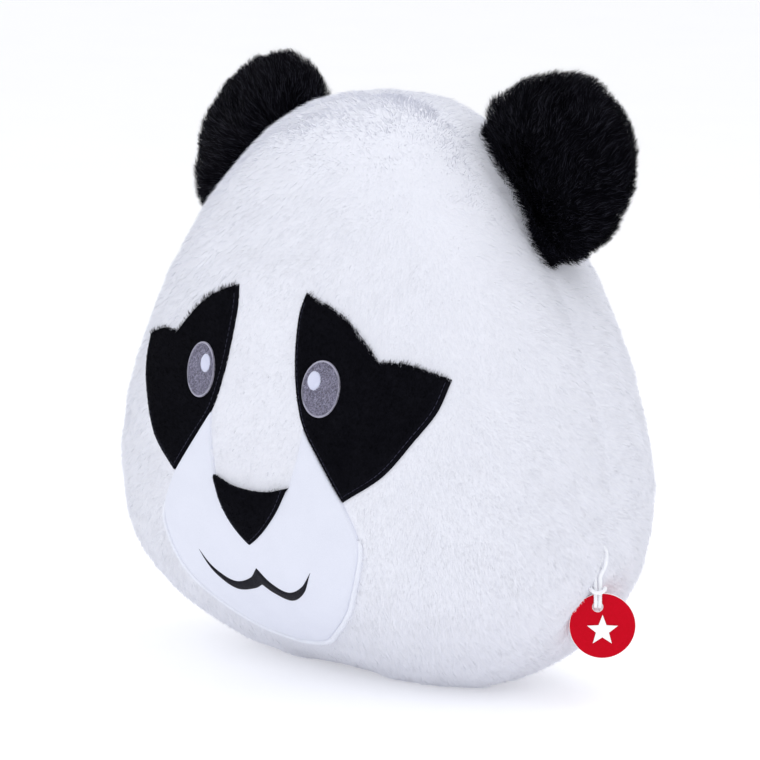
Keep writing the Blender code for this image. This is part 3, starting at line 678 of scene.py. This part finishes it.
def eye_highlight(side, sign):
    """Upright satin stitches side by side, over a low dome."""
    centre, (across, up) = np.array(HIGHLIGHT_CENTRE) * (sign, 1), HIGHLIGHT_RADII
    rows = np.arange(-across + 0.12 * MM, across, 0.26 * MM)
    half = up * np.sqrt(np.maximum(1 - (rows / across)**2, 0)) + 0.15 * MM
    t = np.linspace(-1, 1, 9)
    flat = np.stack([centre[0] + np.broadcast_to(rows[:, None], (len(rows), len(t))),
                     centre[1] + half[:, None] * t], -1)
    rise = PATCH_HEIGHT + 0.7 * MM + 0.85 * MM * np.sqrt(np.maximum(1 - t**4, 0)) \
        * np.sqrt(np.maximum(1 - (rows / (1.05 * across))**2, 0.05))[:, None]
    on_head(strand_mesh(f"eye_highlight_satin_{side}", face.place(flat, rise), 0.2 * MM, [GLINT_THREAD]),
            f"eye_highlight_{side}")


def satin_ridge():
    """The raised edge round the lower muzzle: ribs of thread laid across a low cord."""
    half = np.array(catmull_rom(MUZZLE_OUTER, 8))[:-8]
    line = np.vstack([(half[1:] * (-1, 1))[::-1], half])
    length = line_lengths(line)[-1]
    at = np.arange(0, length, 0.15 * MM)
    flat = points_along(line, at)
    tangent = unit(np.gradient(flat, axis=0))
    outward = np.stack([tangent[:, 1], -tangent[:, 0]], 1)
    flat = flat + outward * 0.6 * MM
    fade = np.clip(np.minimum(at, length - at) / (9 * MM), 0.15, 1)
    rib = 0.07 * MM * np.abs(np.sin(at * math.pi / (0.45 * MM)))
    angle = np.linspace(-0.35, math.pi + 0.35, 9)
    half_width = (1.25 * MM + rib)[:, None] * np.cos(angle)
    rise = 0.5 * MM + ((1.9 * MM * fade + rib)[:, None]) * np.sin(angle)
    points = face.place(flat[:, None] + outward[:, None] * half_width[..., None], rise)
    index = np.arange(at.size * angle.size).reshape(at.size, angle.size)
    faces = np.stack([index[:-1, :-1], index[1:, :-1], index[1:, 1:], index[:-1, 1:]], -1).reshape(-1, 4)
    return array_mesh("muzzle_edge_satin", points.reshape(-1, 3), faces, [SATIN_WHITE])


patches = {}
for side, sign in SIDES:
    patches[side] = eye_patch(side, sign)
    iris(side, sign)
    eye_highlight(side, sign)
on_head(plate("muzzle_velour", MUZZLE, muzzle_height, 1.8 * MM, [0.3, 0.8, 1.6], VELOUR),
        "muzzle_panel")
nose = plate("nose_cloth", NOSE, nose_height, 1.3 * MM, [0.3, 0.8, 1.3, 1.8, 2.3], BLACK_CLOTH,
             skirt=2.6 * MM, lift=NOSE_LIFT)
on_head(nose, "nose_patch")
nose_line = (NOSE + inward_of(NOSE, NOSE) * NOSE_GROOVE_INSET)[NOSE_RUN > 0][1:-1]
on_head(stitch_line("nose_seam", nose_line, NOSE_LIFT + 1.5 * MM, 0.26 * MM, 2.8 * MM, 0.4 * MM),
        "nose_stitching")
on_head(plate("mouth_satin", MOUTH, mouth_height, 0.55 * MM, [0.15, 0.4, 0.8], BLACK_SATIN,
              lift=MUZZLE_RISE + MUZZLE_CROWN - 0.2 * MM), "mouth_embroidery")
on_head(satin_ridge(), "muzzle_edge_stitching")


# ---------- ears
def ear_place(sign):
    inner, outer = (Vector((sign * x, y + SEAM_Y, z - FORM_SINK)) for x, y, z in EAR_BASE_ENDS)
    along = sign * (inner - outer).normalized()
    ahead = along.cross(Vector((0, -1, 0))).cross(along).normalized()
    basis = Matrix((along, ahead, along.cross(ahead))).transposed().to_4x4()
    hinge = Matrix.Translation((0, 0, EAR_HINGE_HEIGHT))
    return Matrix.Translation((inner + outer) / 2) @ basis @ hinge @ Matrix.Rotation(EAR_LEAN, 4, "X") \
        @ hinge.inverted()


def ear_form(name, sign):
    bm = bmesh.new()
    bmesh.ops.create_uvsphere(bm, u_segments=72, v_segments=36, radius=1)
    for vertex in bm.verts:
        along, out, ahead = vertex.co
        height = EAR_DISC_CENTRE + EAR_RADIUS * out
        rise = min(max((height - EAR_HINGE_HEIGHT) / EAR_TAPER, 0), 1)
        half = EAR_BASE_HALF_THICKNESS + (EAR_HALF_THICKNESS - EAR_BASE_HALF_THICKNESS) \
            * math.sin(rise * math.pi / 2)
        half = max(half, 3.5 * MM)
        along *= -EAR_RADIUS
        vertex.co = (along, ahead * half + EAR_CUP * along**2, height)
    cut = [v for v in bm.verts if v.co.z < -6 * MM]
    bmesh.ops.delete(bm, geom=cut, context="VERTS")
    bmesh.ops.holes_fill(bm, edges=bm.edges)
    bmesh.ops.recalc_face_normals(bm, faces=bm.faces)
    return built(bm, name, place=ear_place(sign))


ear_skins = {side: plump(ear_form(f"ear_cloth_{side}", sign), 3 * MM, 3, 2 * MM) for side, sign in SIDES}
for skin in ear_skins.values():
    skin.data.materials.clear()
    skin.data.materials.append(BLACK_UNDER)


# ---------- pile
def scatter(obj, density):
    """Random places on the object's surface: points, normals."""
    corners, normals = mesh_arrays(obj)
    area = np.linalg.norm(np.cross(corners[:, 1] - corners[:, 0], corners[:, 2] - corners[:, 0]), axis=1) / 2
    count = int(area.sum() * density)
    which = np.searchsorted(np.cumsum(area), RNG.random(count) * area.sum())
    which = np.minimum(which, len(area) - 1)
    u, v = np.sqrt(RNG.random(count)), RNG.random(count)
    weights = np.stack([1 - u, u * (1 - v), u * v], 1)[..., None]
    return (corners[which] * weights).sum(1), unit((normals[which] * weights).sum(1))


def waves(points, size, seed):
    """Smooth noise between about -1 and 1 at these points."""
    rng = np.random.default_rng(seed)
    total = np.zeros(len(points))
    for _ in range(7):
        wave = rng.normal(0, 1, 3)
        total += np.sin(points @ wave * (2 * math.pi / size) / 1.7 + rng.random() * 6.28)
    return total / 2.4


def clumped(roots, tips, spacing, strength):
    """Draws the tips together in small tufts."""
    count = max(int(len(roots) / spacing), 1)
    centres = RNG.choice(len(roots), count, replace=False)
    tree = KDTree(count)
    for number, index in enumerate(centres):
        tree.insert(roots[index], number)
    tree.balance()
    pull = centres[np.array([tree.find(p)[1] for p in roots])]
    return tips + (tips[pull] - tips) * strength * RNG.uniform(0.3, 1.0, (len(roots), 1))


def pile(name, roots, normals, comb, length, width, lie, materials, tuft=9, gather=0.45, shade=0.5,
         stray=0.28, slots=None):
    """Fibres as tapered blades that rise from the skin and bend over along comb, lie degrees from it."""
    comb = unit(comb - (comb * normals).sum(1, keepdims=True) * normals)
    across = np.cross(normals, comb)
    swing = RNG.normal(0, stray, (len(roots), 1))
    comb = unit(comb * np.cos(swing) + across * np.sin(swing))
    lie = lie[:, None] if np.ndim(lie) else lie
    rise = np.radians(lie + RNG.normal(0, 7, (len(roots), 1)))
    length = (length * RNG.uniform(0.72, 1.12, len(roots)))[:, None]
    first = unit(comb * np.cos(rise * 1.45) + normals * np.sin(rise * 1.45))
    second = unit(comb * np.cos(rise * 0.62) + normals * np.sin(rise * 0.62))
    middle = roots + first * length * 0.45
    tips = middle + second * length * 0.55
    tips = clumped(roots, tips, tuft, gather)
    middle = middle + (tips - middle - second * length * 0.55) * 0.4
    start = roots - normals * 0.4 * MM
    middle[:, 2] = np.maximum(middle[:, 2], PILE_FLOOR)
    tips[:, 2] = np.maximum(tips[:, 2], PILE_FLOOR)
    turn = RNG.normal(0, 0.6, (len(roots), 1))
    side = unit(np.cross(second, normals))
    side = unit(side * np.cos(turn) + normals * np.sin(turn))
    side *= np.sign((np.cross(side, second) * normals).sum(1, keepdims=True) + 1e-9)
    width = (width * RNG.uniform(0.7, 1.2, len(roots)))[:, None] / 2
    points = np.stack([start - side * width, start + side * width, middle - side * width * 0.85,
                       middle + side * width * 0.85, tips], 1).reshape(-1, 3)
    points[:, 2] = np.maximum(points[:, 2], 0.15 * MM)
    base = np.arange(len(roots))[:, None] * 5
    faces = np.stack([base + (0, 1, 3), base + (0, 3, 2), base + (2, 3, 4)], 1).reshape(-1, 3)
    facing = np.cross(side, second)
    shading = unit(normals * shade + facing * (1 - shade))
    shading = np.repeat(shading, 5, 0)
    if slots is None:
        slots = RNG.integers(0, len(materials), len(roots))
    return array_mesh(name, points, faces, materials, np.repeat(slots, 3), shading)


def face_plane(points):
    """Places of the outlines' frontal plane for world points, both sides folded onto one."""
    return np.stack([np.abs(points[:, 0]), points[:, 2] + FORM_SINK], 1)


def under_appliques(points):
    """How much deeper the cloth lies where an applique covers it."""
    plane = face_plane(points)
    depth = np.zeros(len(points))
    front = points[:, 1] < SEAM_Y - 20 * MM
    for ring in (PATCH, MUZZLE):
        inside = -edge_distance(plane[front], ring)[0]
        depth[front] = np.maximum(depth[front], 1.2 * MM * np.clip(inside / (2 * MM), 0, 1))
    return depth


def steer_away(comb, plane, mirror, distance, nearest, ring, firm, reach):
    """Turns fibres that would lie over a neat edge so that they run along it instead."""
    a, b = ring[nearest], np.roll(ring, -1, 0)[nearest]
    ab = b - a
    t = np.clip(((plane - a) * ab).sum(1) / (ab * ab).sum(1), 0, 1)[:, None]
    toward = unit(a + t * ab - plane)
    toward = np.stack([toward[:, 0] * mirror, np.zeros(len(plane)), toward[:, 1]], 1)
    amount = (comb * toward).sum(1)
    near = firm & (distance < reach) & (amount > -0.25)
    weight = np.where(near, (amount + 0.25) * np.clip((reach - distance) / (0.4 * reach), 0, 1), 0)
    return comb - weight[:, None] * toward


def top_places(cloth, density, ring):
    """Places on top of a patch or the nose, how far inside its edge they are, and the nearest side."""
    roots, normals = scatter(cloth, density)
    plane = face_plane(roots)
    distance, nearest = edge_distance(plane, ring)
    on_top = (normals[:, 1] < -0.2) & (distance < -0.4 * MM)
    return kept(on_top, roots, normals, plane, -distance, nearest)


def nap_length(hairy, inside, full, fringe, low, low_width):
    """Longer at an edge that hangs over, and low beside a stitched one."""
    return np.where(hairy, full + fringe * np.exp(-inside / (1.6 * MM)),
                    np.where(inside < low_width, low, full))


# White pile: combed down over the face and back over the crown, short beside appliques and the tag.
dent(head_skin, under_appliques)
roots, normals = scatter(head_skin, WHITE_DENSITY)
roots, normals = kept(~((roots[:, 2] < 1.0 * MM) & (normals[:, 2] < -0.8)), roots, normals)
front = roots[:, 1] < SEAM_Y
plane = face_plane(roots)
patch_d, patch_side = np.full(len(roots), 1.0), np.zeros(len(roots), int)
muzzle_d, muzzle_side = patch_d.copy(), patch_side.copy()
patch_d[front], patch_side[front] = edge_distance(plane[front], PATCH)
muzzle_d[front], muzzle_side[front] = edge_distance(plane[front], MUZZLE)
neat = np.where(PATCH_RUN[patch_side] < HAIRY_RUNS, 0.2 * MM, 0.9 * MM)
roots, normals, front, plane, patch_d, patch_side, muzzle_d, muzzle_side = kept(
    (patch_d > neat) & (muzzle_d > 0.6 * MM),
    roots, normals, front, plane, patch_d, patch_side, muzzle_d, muzzle_side)
hairy = PATCH_RUN[patch_side] < HAIRY_RUNS
x, y, z = roots.T
y = y - SEAM_Y
sideways = x / 0.15
top = np.clip((z - 0.235) / 0.06, 0, 1)
front_comb = np.stack(
    [0.5 * sideways, -0.9 * top + 0.55 * np.abs(sideways)**2, np.full(len(x), -1.0)], 1)
back_comb = np.stack(
    [-0.25 * sideways, 0.9 - 0.5 * np.clip(y / 0.06, 0, 1), np.full(len(x), -0.75)], 1)
blend_width = 12 * MM + 60 * MM * np.clip((z - 0.25) / 0.05, 0, 1)
mix = np.clip(y / blend_width + 0.5, 0, 1)[:, None]
comb = front_comb * (1 - mix) + back_comb * mix
swirl = (0.22 * waves(roots, 0.06, 3) + 0.10 * waves(roots, 0.02, 4))[:, None]
across = np.cross(normals, comb)
bridge = np.clip((0.034 - plane[:, 0]) / 0.006, 0, 1) \
    * np.clip((0.236 - plane[:, 1]) / 0.022, 0, 1) * front
swirl = swirl * (1 - 0.8 * bridge[:, None])
comb = comb * np.cos(swirl) + across * np.sin(swirl)
length = WHITE_LENGTH * (1 + 0.10 * waves(roots, 0.03, 5))
near_edge = np.clip(patch_d / np.where(hairy, 5 * MM, 9 * MM), 0, 1)
length *= np.where(hairy, 0.62, 0.35) * (1 - near_edge) + near_edge
length *= 0.5 + 0.5 * np.clip(muzzle_d / (8 * MM), 0, 1)
length = length * (1 - bridge) + BRIDGE_LENGTH * bridge
to_tag = np.linalg.norm(roots - np.array(TAG_CENTRE), axis=1)
length *= 0.3 + 0.7 * np.clip((to_tag - 20 * MM) / (14 * MM), 0, 1)
lie = 33 + 5 * waves(roots, 0.02, 6)


mirror = np.sign(x + 1e-9)
comb = steer_away(comb, plane, mirror, patch_d, patch_side, PATCH, front & ~hairy, 8 * MM)
lower_edge = MUZZLE_RUN[muzzle_side] == 0
comb = steer_away(comb, plane, mirror, muzzle_d, muzzle_side, MUZZLE, front & lower_edge, 7 * MM)

zones = [(f"{half}_pile_{side}_{level}", in_half & in_side & in_level)
         for half, in_half in (("face", front), ("back", ~front))
         for side, in_side in (("left", x >= 0), ("right", x < 0))
         for level, in_level in (("upper", z >= PILE_SPLIT_Z), ("lower", z < PILE_SPLIT_Z))]
for name, chosen in zones:
    obj = pile(name, *kept(chosen, roots, normals, comb, length), BLADE_WIDTH, lie[chosen], WHITE_PILE,
               tuft=7, gather=0.24, shade=0.9, stray=0.18)
    on_head(obj)
    obj.visible_shadow = obj.visible_diffuse = False

for side, cloth in patches.items():
    roots, normals, plane, inside, nearest = top_places(cloth, PATCH_DENSITY, PATCH)
    iris_share = np.hypot(*((plane - IRIS_CENTRE) / (np.array(IRIS_RADII) + 1.1 * MM)).T)
    roots, normals, inside, nearest = kept(iris_share > 1, roots, normals, inside, nearest)
    hairy = PATCH_RUN[nearest] < HAIRY_RUNS
    comb = np.stack([0.45 * np.sign(roots[:, 0]), np.zeros(len(roots)), np.ones(len(roots))], 1)
    comb = comb + 0.18 * RNG.normal(0, 1, comb.shape)
    obj = pile(f"eye_patch_pile_{side}", roots, normals, comb,
               nap_length(hairy, inside, 1.6 * MM, 3.4 * MM, 0.7 * MM, 3.2 * MM), BLADE_WIDTH,
               np.where(hairy & (inside < 3 * MM), 24.0, 38.0), BLACK_NAP, tuft=7, gather=0.3)
    on_head(obj)

roots, normals, plane, inside, nearest = top_places(nose, BLACK_DENSITY, NOSE)
comb = (0, 0, 1) + 0.25 * RNG.normal(0, 1, (len(roots), 3))
length = nap_length(NOSE_RUN[nearest] < 1, inside, 1.4 * MM, 2.2 * MM, 0.6 * MM, 2.6 * MM)
on_head(pile("nose_pile", roots, normals, comb, length, NOSE_BLADE_WIDTH, 38.0, BLACK_NAP, tuft=7,
             gather=0.3))

for side, sign in SIDES:
    skin = ear_skins[side]
    place = ear_place(sign)
    back_to_local = np.array(place.inverted())
    roots, normals = scatter(skin, BLACK_DENSITY)
    local = roots @ back_to_local[:3, :3].T + back_to_local[:3, 3]
    roots, normals, local = kept(local[:, 2] > -2 * MM, roots, normals, local)
    comb = np.stack([local[:, 0], np.zeros(len(local)), local[:, 2] + 22 * MM], 1)
    comb = unit(comb) @ np.array(place)[:3, :3].T
    swirl = (0.4 * waves(roots, 0.03, 8) + 0.25 * waves(roots, 0.012, 9))[:, None]
    comb = comb * np.cos(swirl) + np.cross(normals, comb) * np.sin(swirl)
    length = EAR_LENGTH * (1 + 0.15 * waves(roots, 0.02, 10)) * np.clip(0.6 + local[:, 2] / 0.03, 0.6, 1)
    # Slot 2 is the painted glint tint: a lighter, bluer black on about 14 % of the ear fibres.
    glints = RNG.choice(3, len(roots), p=[0.52, 0.34, 0.14])
    obj = pile(f"ear_pile_{side}", roots, normals, comb, length, BLADE_WIDTH,
               40 + 8 * waves(roots, 0.015, 11), BLACK_PILE, shade=0.35, slots=glints)
    for piece in (obj, skin):
        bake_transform(piece)
    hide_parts(f"ear_front_{side}", f"ear_back_{side}", f"ear_stuffing_{side}", f"ear_root_{side}")


# ---------- head skins, one for each panel
def panel(source, name, cuts, material):
    """A copy of the skin on the kept side of each plane, given as a point and a normal to drop."""
    bm = bmesh.new()
    bm.from_mesh(source.data)
    for point, normal in cuts:
        bmesh.ops.bisect_plane(bm, geom=[*bm.verts, *bm.edges, *bm.faces], plane_co=point, plane_no=normal,
                               clear_outer=True)
    obj = built(bm, name, [material])
    obj.data.shade_smooth()
    return obj


SEAM = (0, SEAM_Y, 0)
PANELS = (
    ("face_cloth", [(SEAM, (0, 1, 0))], ("face_panel", "head_stuffing")),
    ("back_cloth_left", [(SEAM, (0, -1, 0)), ((0, 0, 0), (-1, 0, 0))], ("back_panel_left",)),
    ("back_cloth_right", [(SEAM, (0, -1, 0)), ((0, 0, 0), (1, 0, 0))],
     ("back_panel_right", "closing_seam_thread")),
)
for name, cuts, nodes in PANELS:
    cloth = panel(head_skin, name, cuts, UNDERCOAT)
    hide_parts(*nodes)
    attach(cloth, "head")
bpy.data.objects.remove(head_skin, do_unlink=True)


# ---------- hang tag and its cord
def tag_frame():
    facing = Vector((math.sin(TAG_TURN), -math.cos(TAG_TURN), 0))
    level = Vector((math.cos(TAG_TURN), math.sin(TAG_TURN), 0))
    basis = Matrix((level, Vector((0, 0, 1)), facing)).transposed().to_4x4()
    return Matrix.Translation(TAG_CENTRE) @ basis


def tag_card():
    bm = bmesh.new()
    outer, hole = ([centre + Vector((radius * math.cos(a), radius * math.sin(a)))
                    for a in np.arange(count) * 2 * math.pi / count]
                   for centre, radius, count in ((Vector((0, 0)), TAG_RADIUS, 120),
                                                 (TAG_HOLE, TAG_HOLE_RADIUS, 40)))
    half = TAG_THICKNESS / 2
    soft = 0.15 * MM

    def offset(points, centre, amount):
        return [p + (p - centre).normalized() * amount for p in points]

    middle = Vector((0, 0))
    layers = []
    for height, inset in ((-half, soft), (-half + soft, 0), (half - soft, 0), (half, soft)):
        out = [bm.verts.new((*p, height)) for p in offset(outer, middle, -inset)]
        inn = [bm.verts.new((*p, height)) for p in offset(hole, TAG_HOLE, inset)]
        layers.append((out, inn))
    for low_rings, high_rings in zip(layers, layers[1:]):
        for low, high in zip(low_rings, high_rings):
            for i in range(len(low)):
                bm.faces.new((low[i - 1], low[i], high[i], high[i - 1])).material_index = 1
    for rings in (layers[0], layers[-1]):
        edges = [bm.edges.get((ring[i - 1], ring[i])) for ring in rings for i in range(len(ring))]
        bmesh.ops.triangle_fill(bm, edges=edges, use_beauty=True, use_dissolve=False)
    bmesh.ops.recalc_face_normals(bm, faces=bm.faces)
    return built(bm, "tag_card", [TAG_CARD, TAG_RIM], tag_frame())


card = tag_card()
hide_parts("tag_disc")
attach(card, "hang_tag")
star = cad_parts["tag_star"]
star.data.materials.clear()
star.data.materials.append(TAG_PRINT)


def cord_route():
    """The cord's own line: down one strand, through the tag's hole and its own loop, and back up."""
    place = tag_frame()
    x, y = TAG_HOLE
    top = CORD_SPLIT_Z - TAG_CENTRE.z
    ring = [Vector((x + a * MM, top + b * MM, c * MM)) for a, b, c in CORD_PARTING]
    ring += [Vector((x + a * MM, y + b * MM, c * MM)) for a, b, c in HITCH_PATH]
    crossing = Vector((x, y, 0)) + Vector(HITCH_CROSSING) * MM
    hitch = [*ring, crossing, *(Vector((2 * x - p.x, p.y, p.z)) for p in reversed(ring))]
    hitch = [place @ p for p in hitch]
    level = Vector((math.cos(TAG_TURN), math.sin(TAG_TURN), 0))

    def strand(sign):
        low = place @ Vector((TAG_HOLE[0] + sign * 1.3 * MM, top + 0.3 * MM, 0))
        high = CORD_EXIT + Vector((-1.8 * MM, 0, 0)) + sign * 1.2 * MM * level
        middle = (low + high) / 2 + Vector((0.4 * MM, 0, 0)) + sign * 0.6 * MM * level
        inside = high + Vector((-3 * MM, 0, 5 * MM))
        return [inside, high, high + Vector((0.4 * MM, 0, -4.0 * MM)), middle,
                low + Vector((0, 0, 3 * MM))]

    route = strand(-1) + hitch + strand(1)[::-1]
    return np.array(catmull_rom(route, 10))


def twisted_cord(name, line, diameter, material):
    """Three plies twisted round each other along the line, smooth at this scale."""
    at = np.arange(0, line_lengths(line)[-1], 0.3 * MM)
    path = points_along(line, at)
    for _ in range(4):
        path[1:-1] = (path[:-2] + 2 * path[1:-1] + path[2:]) / 4
    along = unit(np.gradient(path, axis=0))
    u = np.zeros_like(along)
    u[0] = unit(np.cross(along[0], (0, 1, 0.3)))
    for i in range(1, len(u)):
        u[i] = unit(u[i - 1] - along[i] * (u[i - 1] @ along[i]))
    v = np.cross(along, u)
    sides = 18
    angle = np.arange(sides) * 2 * math.pi / sides
    twist = at / (4.2 * MM) * 2 * math.pi
    radius = diameter / 2 * (0.90 + 0.12 * np.abs(np.cos(1.5 * (angle[None] - twist[:, None]))))
    ring = u[:, None] * np.cos(angle)[:, None] + v[:, None] * np.sin(angle)[:, None]
    points = (path[:, None] + ring * radius[..., None]).reshape(-1, 3)
    faces = tube_faces(np.arange(len(path) * sides).reshape(len(path), sides))
    return array_mesh(name, points, faces, [material]), path


cord, route = twisted_cord("tag_cord", cord_route(), CORD_DIAMETER, CORD_THREAD)
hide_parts("tag_cord_hitch", "tag_cord_strand_front", "tag_cord_strand_rear")
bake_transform(cord)


# ---------- floor and light
bpy.ops.mesh.primitive_plane_add(size=60, location=(0, 0, 0))
floor = bpy.context.object
floor.name = "floor"
floor.data.materials.append(FLOOR)
glow = FLOOR.node_tree.nodes["Principled BSDF"].inputs
glow["Emission Color"].default_value = (1, 1, 1, 1)
glow["Emission Strength"].default_value = 0.18

world = bpy.data.worlds.new("studio")
bpy.context.scene.world = world
world.use_nodes = True
world.node_tree.nodes["Background"].inputs["Color"].default_value = (0.97, 0.98, 1.0, 1)
world.node_tree.nodes["Background"].inputs["Strength"].default_value = 0.88


def softbox(name, direction, distance, size, power, colour=(1, 1, 1)):
    data = bpy.data.lights.new(name, "AREA")
    data.shape, data.size, data.energy, data.color = "DISK", size, power, colour
    light = bpy.data.objects.new(name, data)
    bpy.context.scene.collection.objects.link(light)
    direction = Vector(direction).normalized()
    light.location = Vector((0, 0, 0.15)) + direction * distance
    light.rotation_euler = (-direction).to_track_quat("-Z", "Y").to_euler()


softbox("key", (-0.1, -1.0, 0.9), 1.8, 1.4, 3, (0.96, 0.98, 1.0))
softbox("low", (-0.5, -1.0, 0.15), 2.0, 1.6, 2.5)
softbox("fill", (1.0, -0.1, 0.6), 2.0, 1.6, 3)
softbox("top", (0.1, 0.3, 1.0), 1.8, 1.4, 6.5)
bpy.context.scene.view_settings.view_transform = "Standard"
